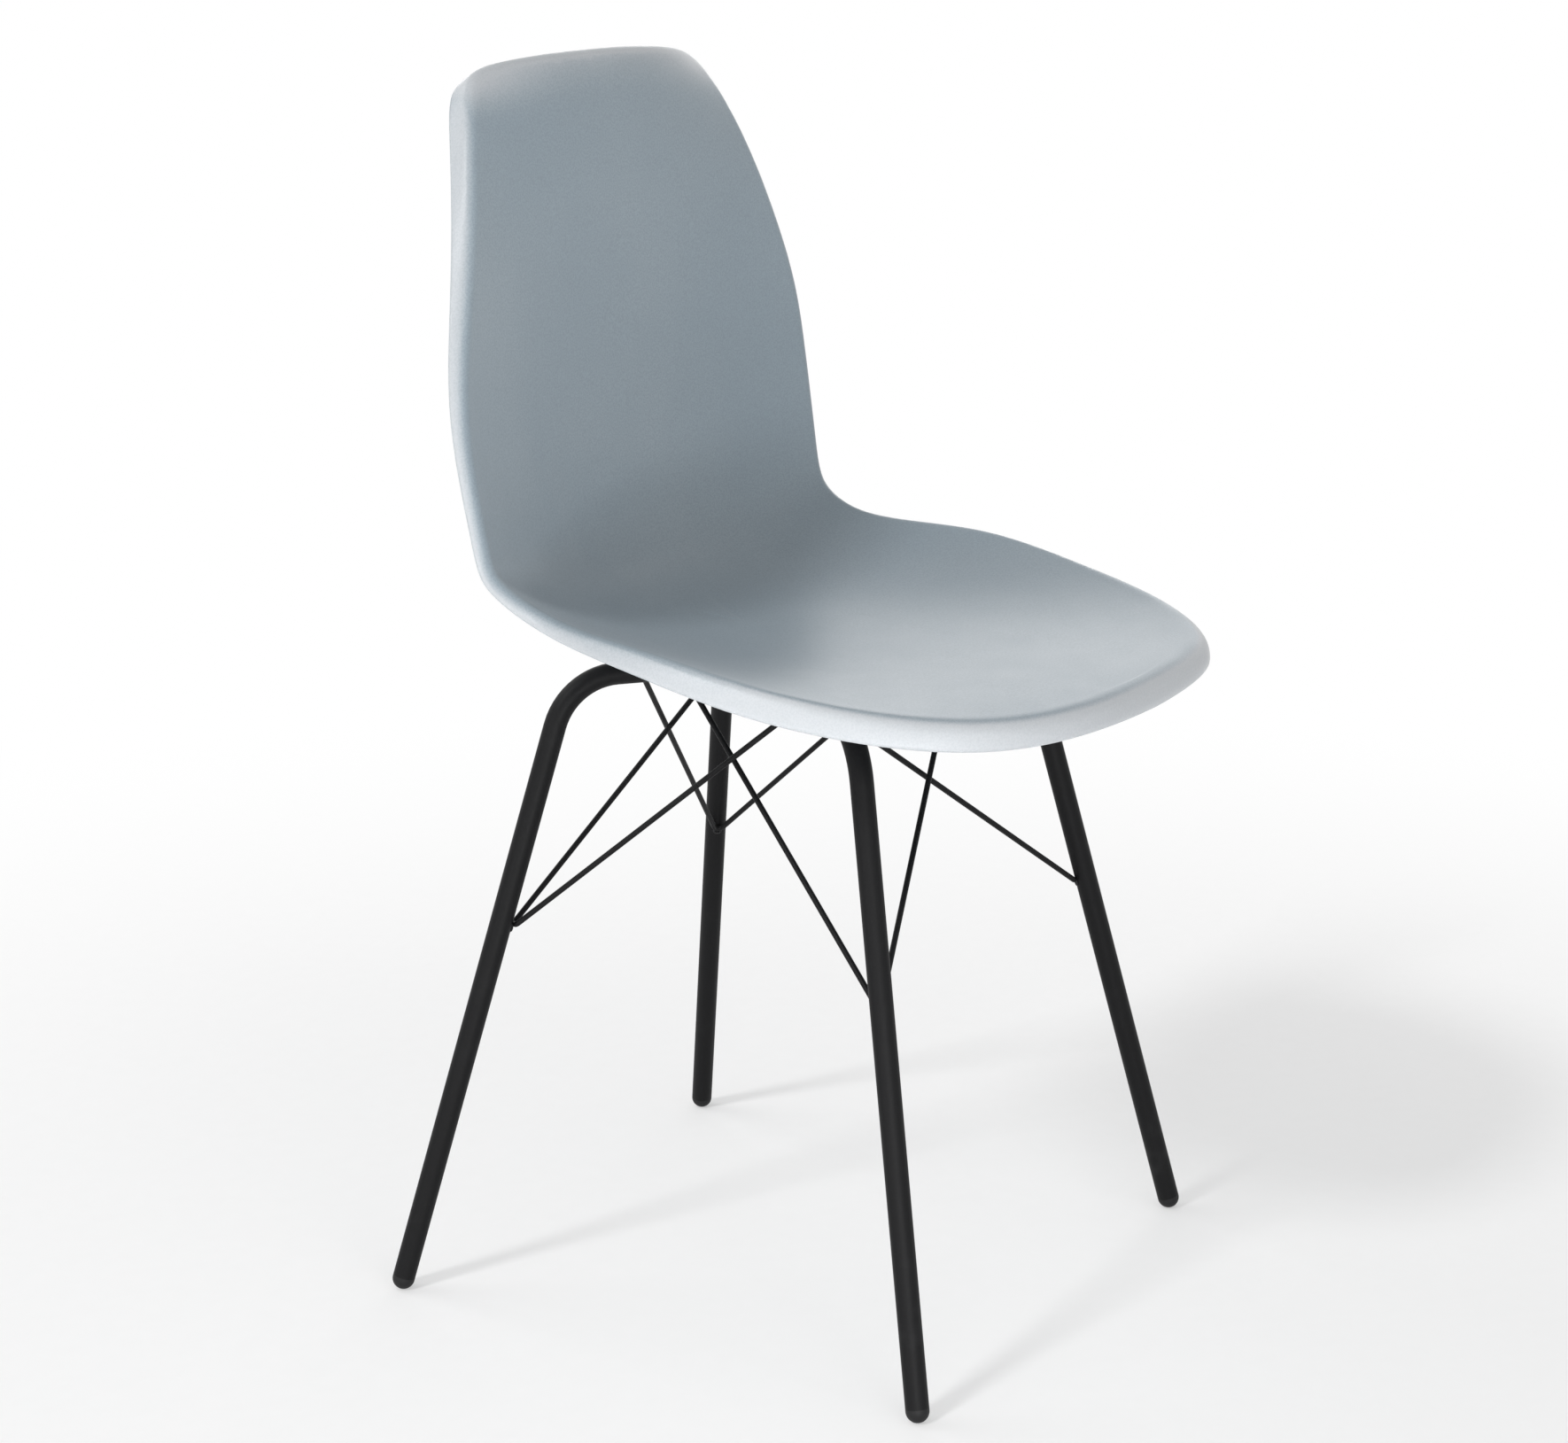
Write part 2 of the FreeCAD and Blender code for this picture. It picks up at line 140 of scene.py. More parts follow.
class ShaderBench:
    """A node tree under construction."""

    def __init__(self, tree: bpy.types.NodeTree) -> None:
        """Start with an empty tree.

        Args:
            tree: The material's or world's node tree.
        """
        self.tree = tree
        self.tree.nodes.clear()

    def node(self, kind: str, settings: dict[str, Any], inputs: dict[Any, Any]) -> bpy.types.Node:
        """Add one node.

        Args:
            kind: The node's type.
            settings: Properties of the node, set before its sockets.
            inputs: A number, colour or signal for each named or numbered socket.

        Returns:
            The new node.
        """
        made = self.tree.nodes.new(kind)
        for name, value in settings.items():
            setattr(made, name, value)
        for name, value in inputs.items():
            socket = made.inputs[name]
            if isinstance(value, Signal):
                self.tree.links.new(value.socket, socket)
            else:
                socket.default_value = value
        return made

    def add(
        self,
        kind: str,
        settings: dict[str, Any],
        inputs: dict[Any, Any],
        output: Union[int, str] = 0,
    ) -> Signal:
        """Add one node and take one of its outputs.

        Args:
            kind: The node's type.
            settings: Properties of the node.
            inputs: A value or signal for each socket.
            output: The name or number of the output that is wanted.

        Returns:
            That output.
        """
        return Signal(self, self.node(kind, settings, inputs).outputs[output])

    def place(self) -> Signal:
        """The point on the piece, in metres."""
        return self.add("ShaderNodeTexCoord", {}, {}, "Object")

    def noise(self, scale: float, detail: float = 2.0, roughness: float = 0.5) -> Signal:
        """Cloudy noise over the piece.

        Args:
            scale: How many clouds go to a metre.
            detail: How many finer layers lie on top.
            roughness: How strong the finer layers are.

        Returns:
            A value about one half.
        """
        inputs = {"Vector": self.place(), "Scale": scale, "Detail": detail, "Roughness": roughness}
        return self.add("ShaderNodeTexNoise", {}, inputs, 0)

    def part(self, vector: Signal, axis: str) -> Signal:
        """One axis of a vector."""
        return self.add("ShaderNodeSeparateXYZ", {}, {"Vector": vector}, axis)

    def height(self) -> Signal:
        """How high a point lies above the floor, in metres."""
        return self.part(self.place(), "Z")

    def blend(self, share: Any, first: Any, second: Any) -> Signal:
        """A colour between two colours.

        Args:
            share: How much of the second shows.
            first: A colour or colour signal.
            second: A colour or colour signal.

        Returns:
            The mixed colour.
        """
        settings = {"data_type": "RGBA"}
        inputs = {0: share, 6: as_rgba(first), 7: as_rgba(second)}
        return self.add("ShaderNodeMix", settings, inputs, 2)

    def bump(self, height: Signal, strength: float, distance: float) -> Signal:
        """A bumped normal.

        Args:
            height: The height of the surface, from nought to one.
            strength: How strongly it shows.
            distance: The height in metres that one stands for.

        Returns:
            The normal.
        """
        inputs = {"Height": height, "Strength": strength, "Distance": distance}
        return self.add("ShaderNodeBump", {}, inputs, 0)

    def surface(self, inputs: dict[Any, Any]) -> None:
        """Finish the material with one principled shader.

        Args:
            inputs: A value or signal for each of its sockets.
        """
        shader = self.add("ShaderNodeBsdfPrincipled", {}, inputs)
        self.node("ShaderNodeOutputMaterial", {}, {"Surface": shader})


def as_rgba(value: Any) -> Any:
    """A plain colour with full opacity; a signal is passed through.

    Args:
        value: Three numbers or a signal.

    Returns:
        Four numbers or the signal.
    """
    return value if isinstance(value, Signal) else (*value, 1.0)


def from_hex(code: str) -> Colour:
    """A written colour as linear light.

    Args:
        code: Six hexadecimal digits.

    Returns:
        Red, green and blue.
    """
    parts = [int(code[k : k + 2], 16) / 255 for k in (0, 2, 4)]
    red, green, blue = [p / 12.92 if p <= 0.04045 else ((p + 0.055) / 1.055) ** 2.4 for p in parts]
    return red, green, blue


@dataclass(frozen=True)
class Finish:
    """What every finish has: a name and a way to make its material."""

    name: str

    def bench(self) -> tuple[bpy.types.Material, ShaderBench]:
        """A new material with an empty tree.

        Returns:
            The material and its bench.
        """
        material = bpy.data.materials.new(self.name)
        material.use_nodes = True
        return material, ShaderBench(material.node_tree)

    def material(self) -> bpy.types.Material:
        """The finish as a material."""
        raise NotImplementedError(self.name)


@dataclass(frozen=True)
class MouldedPlastic(Finish):
    """Satin moulded plastic with a fine spark-eroded grain, and a painted highlight: the rolled edges
    are painted paler.
    """

    colour: str = "97A3AB"
    deep_colour: str = "909DA6"
    scuff_colour: str = "B3BCC1"
    grain_colour: str = "7F8A92"
    # painted highlight: the paler colour painted on the rolled edges to stand in for light falling on
    # them
    painted_highlight_colour: str = "CACBCD"
    scuff_share: float = 0.12
    painted_highlight_share: float = 0.7
    fleck_share: float = 0.42
    painted_highlight_fleck_loss: float = 0.30
    top_rim_height: float = 0.82
    top_rim_fade: float = 0.03
    seat_rim_height: float = 0.495
    seat_rim_fade: float = 0.015
    bend_fade: float = 0.06
    grain_per_metre: float = 800.0
    grain_depth: float = 0.00014
    relief: float = 0.35
    roughness: float = 0.40
    refraction: float = 1.52
    shine: float = 0.28
    coat_share: float = 0.06
    coat_roughness: float = 0.32
    sheen_share: float = 0.15
    sheen_roughness: float = 0.35

    def rim(self, bench: ShaderBench) -> Signal:
        """Where the edge rolls over: the sides, the top of the back and round the seat; the painted
        highlight goes here.

        Args:
            bench: The shader to add to.

        Returns:
            Nought on the open surface and one on the rolled edge.
        """
        facing = bench.add("ShaderNodeTexCoord", {}, {}, "Normal")
        across = bench.part(facing, "X")
        up = bench.part(facing, "Z")
        level = bench.height()
        side = (across * across).ramp(0.10, 1.0)
        high = level.ramp(self.top_rim_height, self.top_rim_height + self.top_rim_fade)
        top = high * up.ramp(0.1, 0.6)
        seat_low = self.seat_rim_height - self.seat_rim_fade
        seat_high = self.seat_rim_height + self.seat_rim_fade
        below = 1.0 - level.ramp(seat_low, seat_high)
        ahead = 1.0 - bench.part(bench.place(), "Y").ramp(-self.bend_fade, self.bend_fade)
        tilt = 1.0 - up * up
        seat = tilt.ramp(0.25, 0.9).most(tilt.ramp(0.03, 0.36) * ahead) * below
        return side.most(top).most(seat)

    def material(self) -> bpy.types.Material:
        """The finish as a material.

        Returns:
            The new material.
        """
        material, bench = self.bench()
        cloud = bench.noise(5.0, 3.0)
        patch = bench.noise(38.0, 4.0, 0.6)
        grain = bench.noise(self.grain_per_metre, 2.0, 0.65)
        coarse = bench.noise(self.grain_per_metre / 4, 1.0)
        streak = bench.noise(90.0, 5.0, 0.7).ramp(0.62, 0.80)
        tone = bench.blend(cloud.ramp(0.3, 0.7), from_hex(self.colour), from_hex(self.deep_colour))
        tone = bench.blend(streak * self.scuff_share, tone, from_hex(self.scuff_colour))
        rim = self.rim(bench)
        # painted highlight: the rolled edges are painted paler, as if lit
        tone = bench.blend(rim * self.painted_highlight_share, tone, from_hex(self.painted_highlight_colour))
        # fewer dark grain flecks on the rolled edges, so the painted highlight stays pale
        fleck = grain.ramp(0.40, 0.62) * (self.fleck_share - rim * self.painted_highlight_fleck_loss)
        tone = bench.blend(fleck, tone, from_hex(self.grain_colour))
        rough = self.roughness + (patch - 0.5) * 0.10 + (grain - 0.5) * 0.10 - streak * 0.05
        raised = grain * 0.7 + coarse * 0.3
        bench.surface({
            "Base Color": tone,
            "Roughness": rough,
            "IOR": self.refraction,
            "Specular IOR Level": self.shine,
            "Coat Weight": self.coat_share,
            "Coat Roughness": self.coat_roughness,
            "Sheen Weight": self.sheen_share,
            "Sheen Roughness": self.sheen_roughness,
            "Normal": bench.bump(raised, self.relief, self.grain_depth),
        })
        return material


@dataclass(frozen=True)
class PowderCoat(Finish):
    """Satin black powder coat with a slight orange peel and rubbed patches low down."""

    colour: str = "171718"
    rubbed_colour: str = "29292A"
    dust_colour: str = "6A6A6C"
    dust_share: float = 0.10
    dust_per_metre: float = 2600.0
    peel_per_metre: float = 620.0
    peel_depth: float = 0.00005
    relief: float = 0.45
    roughness: float = 0.48
    refraction: float = 1.45
    shine: float = 0.12

    def material(self) -> bpy.types.Material:
        """The finish as a material.

        Returns:
            The new material.
        """
        material, bench = self.bench()
        peel = bench.noise(self.peel_per_metre, 1.0, 0.4)
        dust = bench.noise(self.dust_per_metre, 1.0)
        patch = bench.noise(24.0, 4.0, 0.6)
        low = 1.0 - bench.height().ramp(0.01, 0.10)
        rub = patch.ramp(0.55, 0.75) * (0.25 + low * 0.45)
        tone = bench.blend(rub, from_hex(self.colour), from_hex(self.rubbed_colour))
        powder = dust.ramp(0.60, 0.85) * self.dust_share
        tone = bench.blend(powder, tone, from_hex(self.dust_colour))
        rough = self.roughness + (patch - 0.5) * 0.14 + (dust - 0.5) * 0.06 - rub * 0.05
        bench.surface({
            "Base Color": tone,
            "Roughness": rough,
            "IOR": self.refraction,
            "Specular IOR Level": self.shine,
            "Normal": bench.bump(peel * 0.8 + dust * 0.2, self.relief, self.peel_depth),
        })
        return material


@dataclass(frozen=True)
class SoftPolymer(Finish):
    """Black plastic or rubber, matt, with a fine grain and pale floor dust at its foot."""

    colour: str = "1B1B1C"
    worn_colour: str = "4A4A4B"
    roughness: float = 0.55
    refraction: float = 1.5
    shine: float = 0.2
    grain_per_metre: float = 2200.0
    grain_depth: float = 0.00006
    relief: float = 0.35
    dust_height: float = 0.004
    dust_share: float = 0.3

    def material(self) -> bpy.types.Material:
        """The finish as a material.

        Returns:
            The new material.
        """
        material, bench = self.bench()
        grain = bench.noise(self.grain_per_metre, 2.0, 0.6)
        patch = bench.noise(210.0, 3.0, 0.6)
        low = 1.0 - bench.height().ramp(0.0, self.dust_height)
        worn = low * patch.ramp(0.35, 0.7) * self.dust_share
        tone = bench.blend(worn + grain * 0.06, from_hex(self.colour), from_hex(self.worn_colour))
        rough = self.roughness + (patch - 0.5) * 0.16 + worn * 0.2
        bench.surface({
            "Base Color": tone,
            "Roughness": rough,
            "IOR": self.refraction,
            "Specular IOR Level": self.shine,
            "Normal": bench.bump(grain, self.relief, self.grain_depth),
        })
        return material


@dataclass(frozen=True)
class TurnedMetal(Finish):
    """Turned or plated metal with fine tool rings and faint tarnish."""

    colour: str = "B9BBBD"
    tarnish_colour: str = "8C8E90"
    tarnish_share: float = 0.6
    roughness: float = 0.28
    rings_per_metre: float = 3800.0
    ring_depth: float = 0.00004
    relief: float = 0.3

    def material(self) -> bpy.types.Material:
        """The finish as a material.

        Returns:
            The new material.
        """
        material, bench = self.bench()
        level = bench.height()
        rings = bench.add("ShaderNodeMath", {"operation": "SINE"}, {0: level * self.rings_per_metre})
        cloud = bench.noise(260.0, 4.0, 0.6)
        speck = bench.noise(2400.0, 2.0)
        stain = cloud.ramp(0.45, 0.75)
        tarnish = stain * self.tarnish_share
        tone = bench.blend(tarnish, from_hex(self.colour), from_hex(self.tarnish_colour))
        rough = self.roughness + stain * 0.16 + (speck - 0.5) * 0.12
        raised = rings * 0.3 + speck * 0.4 + 0.3
        bench.surface({
            "Base Color": tone,
            "Metallic": 1.0,
            "Roughness": rough,
            "Normal": bench.bump(raised, self.relief, self.ring_depth),
        })
        return material


@dataclass(frozen=True)
class WeldSkin(Finish):
    """Painted weld metal: the powder coat over rippled weld beads."""

    colour: str = "29292A"
    crest_colour: str = "404042"
    crest_share: float = 0.4
    ripples_per_metre: float = 1100.0
    ripple_depth: float = 0.00025
    relief: float = 0.8
    roughness: float = 0.40
    refraction: float = 1.45
    shine: float = 0.15

    def material(self) -> bpy.types.Material:
        """The finish as a material.

        Returns:
            The new material.
        """
        material, bench = self.bench()
        ripple = bench.noise(self.ripples_per_metre, 2.0, 0.6)
        speck = bench.noise(2600.0, 1.0)
        crest = ripple.ramp(0.5, 0.8) * self.crest_share
        tone = bench.blend(crest, from_hex(self.colour), from_hex(self.crest_colour))
        bench.surface({
            "Base Color": tone,
            "Roughness": self.roughness + (speck - 0.5) * 0.16,
            "IOR": self.refraction,
            "Specular IOR Level": self.shine,
            "Normal": bench.bump(ripple, self.relief, self.ripple_depth),
        })
        return material


class Workshop:
    """Modelling helpers that work as by hand, with operators."""

    @staticmethod
    def clear_selection() -> None:
        """Leave edit mode and select nothing."""
        if bpy.context.object and bpy.context.object.mode != "OBJECT":
            bpy.ops.object.mode_set(mode="OBJECT")
        bpy.ops.object.select_all(action="DESELECT")

    @staticmethod
    def pick(piece: bpy.types.Object) -> None:
        """Select one piece alone, and make it the active one.

        Args:
            piece: The piece.
        """
        Workshop.clear_selection()
        piece.select_set(True)
        bpy.context.view_layer.objects.active = piece

    @staticmethod
    def fix_place(piece: bpy.types.Object) -> None:
        """Put a piece's place into its mesh.

        Args:
            piece: The finished piece.
        """
        Workshop.pick(piece)
        bpy.ops.object.transform_apply(location=True, rotation=True, scale=True)

    @staticmethod
    def recalculate(piece: bpy.types.Object) -> None:
        """Merge doubled points and face the surface outwards.

        Args:
            piece: The piece to clean.
        """
        Workshop.pick(piece)
        bpy.ops.object.mode_set(mode="EDIT")
        bpy.ops.mesh.select_all(action="SELECT")
        bpy.ops.mesh.remove_doubles(threshold=0.00001)
        bpy.ops.mesh.normals_make_consistent(inside=False)
        bpy.ops.object.mode_set(mode="OBJECT")

    @staticmethod
    def join(pieces: list[bpy.types.Object], name: str) -> bpy.types.Object:
        """Join several pieces into one.

        Args:
            pieces: The pieces.
            name: The name of the result.

        Returns:
            The joined piece.
        """
        Workshop.clear_selection()
        for piece in pieces:
            piece.select_set(True)
        bpy.context.view_layer.objects.active = pieces[0]
        bpy.ops.object.join()
        joined = bpy.context.view_layer.objects.active
        joined.name = name
        joined.data.name = name
        return joined

    @staticmethod
    def ripple(piece: bpy.types.Object, ring: int, amount: float) -> None:
        """Draw every other ring of points of a tube in a little, and soften the result.

        Args:
            piece: A tube whose points are stored ring by ring.
            ring: How many points a ring has.
            amount: How far they move along their normals, in metres.
        """
        Workshop.pick(piece)
        bpy.ops.object.mode_set(mode="EDIT")
        bpy.ops.mesh.select_mode(type="VERT")
        bpy.ops.mesh.select_all(action="DESELECT")
        bpy.ops.object.mode_set(mode="OBJECT")
        for point in piece.data.vertices:
            point.select = (point.index // ring) % 2 == 0
        bpy.ops.object.mode_set(mode="EDIT")
        bpy.ops.transform.shrink_fatten(value=amount)
        bpy.ops.object.mode_set(mode="OBJECT")
        Workshop.soften(piece)

    @staticmethod
    def soften(piece: bpy.types.Object) -> None:
        """Subdivide a piece once, and keep the result in its mesh.

        Args:
            piece: The piece.
        """
        softer = piece.modifiers.new("softer", "SUBSURF")
        softer.levels = 1
        softer.render_levels = 1
        bpy.context.view_layer.objects.active = piece
        bpy.ops.object.modifier_apply(modifier=softer.name)

    @staticmethod
    def ripple_along(
        piece: bpy.types.Object,
        run: Vector,
        length: float,
        rings: int,
        narrow: float = 0.8,
    ) -> None:
        """Cut an open tube into rings, draw every other one in, close its ends and soften it.

        Args:
            piece: An open tube.
            run: The direction that it lies along.
            length: Its length.
            rings: How many rings it gets.
            narrow: The width of the drawn rings, as a share of the others.
        """
        middle = piece.location.copy()
        for k in range(1, rings - 1):
            Workshop.pick(piece)
            bpy.ops.object.mode_set(mode="EDIT")
            bpy.ops.mesh.select_all(action="SELECT")
            place = middle + run * length * (k / (rings - 1) - 0.5)
            bpy.ops.mesh.bisect(plane_co=place, plane_no=run)
            if k % 2 == 0:
                bpy.ops.transform.resize(value=(narrow, narrow, narrow), center_override=place)
            bpy.ops.object.mode_set(mode="OBJECT")
        bpy.ops.object.mode_set(mode="EDIT")
        bpy.ops.mesh.select_all(action="DESELECT")
        bpy.ops.mesh.select_non_manifold()
        bpy.ops.mesh.fill_holes(sides=0)
        bpy.ops.mesh.select_all(action="SELECT")
        bpy.ops.object.mode_set(mode="OBJECT")
        Workshop.soften(piece)

    @staticmethod
    def smooth(piece: bpy.types.Object, angle: float) -> None:
        """Shade a piece smooth up to an angle.

        Args:
            piece: The piece.
            angle: The sharpest angle in degrees that is still smoothed.
        """
        Workshop.pick(piece)
        bpy.ops.object.shade_smooth_by_angle(angle=math.radians(angle))


def dress(piece: bpy.types.Object, material: bpy.types.Material) -> None:
    """Give a piece one material.

    Args:
        piece: A frame node or a new piece.
        material: The finish's material.
    """
    piece.data.materials.clear()
    piece.data.materials.append(material)


def settle(piece: bpy.types.Object) -> None:
    """Let a new piece ride with the chair.

    Args:
        piece: The new piece.
    """
    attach(piece, "root")
    LOG.info("made %s", piece.name)


@dataclass
class SeatShell:
    """The moulded seat and back in one piece."""

    node: str = "seat_shell"
    finish: MouldedPlastic = MouldedPlastic("satin_shell_plastic")

    def dress(self) -> None:
        """Give the shell its satin plastic."""
        dress(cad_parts[self.node], self.finish.material())
        LOG.info("dressed %s", self.node)


@dataclass
class TubeFrame:
    """The four legs with their seat bars, the wire braces, the plate and the welds."""

    tube_radius: float = 0.008
    rod_radius: float = 0.002
    foot_spread_x: float = 0.205
    foot_spread_y: float = 0.208
    feet_centre_y: float = 0.030
    foot_height: float = 0.0076
    hub_y: float = 0.0614
    bar_height: float = 0.4407
    front_bar_reach: float = 0.196
    rear_bar_reach: float = 0.1407
    bead_ring: float = 0.0027
    bead_radius: float = 0.0011
    seam_radius: float = 0.0013
    seam_length: float = 0.022
    seam_offset: float = 0.0048
    seam_middle: float = 0.034
    bead_rounds: int = 18
    bead_facets: int = 8
    bead_ripple: float = 0.3
    seam_facets: int = 10
    seam_rings: int = 11
    seam_sink: float = 0.6
    rod_reach: float = 0.6
    smooth_angle: float = 80.0
    coat: PowderCoat = PowderCoat("black_powder_coat")
    weld: WeldSkin = WeldSkin("painted_weld")

    def hub(self) -> Vector:
        """Where the middle lines of the four seat bars meet."""
        return Vector((0.0, self.hub_y, self.bar_height))

    def brace_points(self, side: Side) -> list[Vector]:
        """The points of the brace that starts from a leg."""
        return [v.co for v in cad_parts["brace_" + side.value].data.vertices]

    def foot(self, side: Side) -> Vector:
        """The lower end of a leg's middle line."""
        across, along = side.signs()
        return Vector((
            across * self.foot_spread_x,
            self.feet_centre_y + along * self.foot_spread_y,
            self.foot_height,
        ))

    def outwards(self, side: Side) -> Vector:
        """The level direction in which a leg's seat bar leaves the middle of the frame."""
        foot = self.foot(side)
        return Vector((foot.x, foot.y - self.hub_y, 0.0)).normalized()

    def corner(self, side: Side) -> Vector:
        """Where the leg's middle line would meet its seat bar's."""
        reach = self.front_bar_reach if side.signs()[1] < 0 else self.rear_bar_reach
        return self.hub() + self.outwards(side) * reach

    def brace_seat(self, side: Side) -> tuple[Vector, Vector]:
        """Where a brace's bend lies on its leg, and the way the tube faces there.

        Args:
            side: The leg.

        Returns:
            The place on the tube and its outward direction.
        """
        lowest = min(point.z for point in self.brace_points(side)) + self.rod_radius
        foot, corner = self.foot(side), self.corner(side)
        middle = foot + (corner - foot) * ((lowest - foot.z) / (corner.z - foot.z))
        run = (corner - foot).normalized()
        facing = -self.outwards(side)
        facing = (facing - run * facing.dot(run)).normalized()
        return middle + facing * self.tube_radius, facing

    def arm_seats(self, side: Side) -> list[tuple[Vector, Vector]]:
        """Where a brace's two arms land on the bars of the next legs.

        Args:
            side: The leg that the brace starts from.

        Returns:
            Each place on a bar, and the way the bar faces there.
        """
        hub = self.hub()
        touching = self.tube_radius + self.rod_radius * self.rod_reach
        seats = []
        for other in side.neighbours():
            outwards = self.outwards(other)
            near = []
            for point in self.brace_points(side):
                along = (point - hub).dot(outwards)
                gap = point - hub - outwards * along
                if along > 0.0 and gap.length < touching:
                    near.append((along, gap))
            along = sum(one[0] for one in near) / len(near)
            gap = sum((one[1] for one in near), Vector()) / len(near)
            facing = gap.normalized()
            seats.append((hub + outwards * along + facing * self.tube_radius, facing))
        return seats

    def bead_on(self, place: Vector, facing: Vector) -> bpy.types.Object:
        """One rippled ring of weld metal lying on a tube round the end of a rod.

        Args:
            place: A point on the tube.
            facing: The way the tube faces there.

        Returns:
            The bead.
        """
        Workshop.clear_selection()
        turn = facing.to_track_quat("Z", "Y").to_euler()
        bpy.ops.mesh.primitive_torus_add(
            location=place,
            rotation=turn,
            major_radius=self.bead_ring,
            minor_radius=self.bead_radius,
            major_segments=self.bead_rounds,
            minor_segments=self.bead_facets,
        )
        bead = bpy.context.object
        Workshop.ripple(bead, self.bead_facets, -self.bead_radius * self.bead_ripple)
        return bead

    def seam_under(self, side: Side, hand: int) -> bpy.types.Object:
        """One rippled seam of weld metal between a seat bar and the plate above it.

        Args:
            side: The bar's leg.
            hand: One or minus one, for the two sides of the bar.

        Returns:
            The seam.
        """
        outwards = self.outwards(side)
        sideways = Vector((-outwards.y, outwards.x, 0.0))
        rise = self.tube_radius - self.seam_radius * self.seam_sink
        place = self.hub() + Vector((0.0, 0.0, rise))
        place += outwards * self.seam_middle + sideways * hand * self.seam_offset
        turn = outwards.to_track_quat("Z", "Y").to_euler()
        Workshop.clear_selection()
        bpy.ops.mesh.primitive_cylinder_add(
            vertices=self.seam_facets,
            radius=self.seam_radius,
            depth=self.seam_length,
            end_fill_type="NOTHING",
            location=place,
            rotation=turn,
        )
        seam = bpy.context.object
        Workshop.ripple_along(seam, outwards, self.seam_length, self.seam_rings)
        return seam

    def weld_beads(self) -> None:
        """Weld metal round each brace's bend and ends, and along the bars under the plate."""
        beads = []
        for side in Side:
            beads.append(self.bead_on(*self.brace_seat(side)))
            beads.extend(self.bead_on(*seat) for seat in self.arm_seats(side))
        self.finish_weld(beads, "brace_weld_beads")
        seams = [self.seam_under(side, hand) for side in Side for hand in (-1, 1)]
        self.finish_weld(seams, "plate_weld_seams")

    def finish_weld(self, parts: list[bpy.types.Object], name: str) -> None:
        """Join weld metal into one smooth piece and paint it.

        Args:
            parts: The beads or seams.
            name: The name of the piece.
        """
        piece = Workshop.join(parts, name)
        Workshop.fix_place(piece)
        Workshop.recalculate(piece)
        Workshop.smooth(piece, self.smooth_angle)
        dress(piece, self.weld.material())
        settle(piece)

    def dress(self) -> None:
        """Coat the tubes, wires and plate."""
        material = self.coat.material()
        for side in Side:
            dress(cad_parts["leg_" + side.value], material)
            dress(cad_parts["brace_" + side.value], material)
        dress(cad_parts["mounting_plate"], material)
        LOG.info("dressed the tube frame")

    def build(self) -> None:
        """Add the weld metal and dress the frame."""
        self.weld_beads()
        self.dress()


@dataclass
class FootPlugs:
    """The rounded plugs in the ends of the legs."""

    finish: SoftPolymer = SoftPolymer("black_foot_plastic")

    def dress(self) -> None:
        """Give the plugs their black plastic."""
        material = self.finish.material()
        for side in Side:
            dress(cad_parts["foot_" + side.value], material)
        LOG.info("dressed the foot plugs")


@dataclass
class ShellMounting:
    """Screws, washers, cushions and inserts under the seat."""

    rubber: SoftPolymer = SoftPolymer("cushion_rubber", colour="202021", roughness=0.7)
    zinc: TurnedMetal = TurnedMetal("zinc_plated_steel")
    brass: TurnedMetal = TurnedMetal("turned_brass", colour="C8A45A", tarnish_colour="8E7440")

    def dress(self) -> None:
        """Give the small parts their finishes."""
        rubber = self.rubber.material()
        for side in Side:
            dress(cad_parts["cushion_" + side.value], rubber)
        zinc = self.zinc.material()
        dress(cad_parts["shell_screws"], zinc)
        dress(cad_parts["screw_washers"], zinc)
        dress(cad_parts["threaded_inserts"], self.brass.material())
        LOG.info("dressed the shell mounting")


@dataclass(frozen=True)
class SoftBox:
    """One rectangular lamp, with its power in watts."""

    name: str
    place: Place
    aim: Place
    width: float
    height: float
    power: float

    def build(self) -> None:
        """Set the lamp up."""
        light = bpy.data.lights.new(self.name, "AREA")
        light.shape = "RECTANGLE"
        light.size = self.width
        light.size_y = self.height
        light.energy = self.power
        lamp = bpy.data.objects.new(self.name, light)
        bpy.context.scene.collection.objects.link(lamp)
        lamp.location = self.place
        lamp.visible_camera = False
        direction = Vector(self.aim) - Vector(self.place)
        lamp.rotation_euler = direction.to_track_quat("-Z", "Y").to_euler()


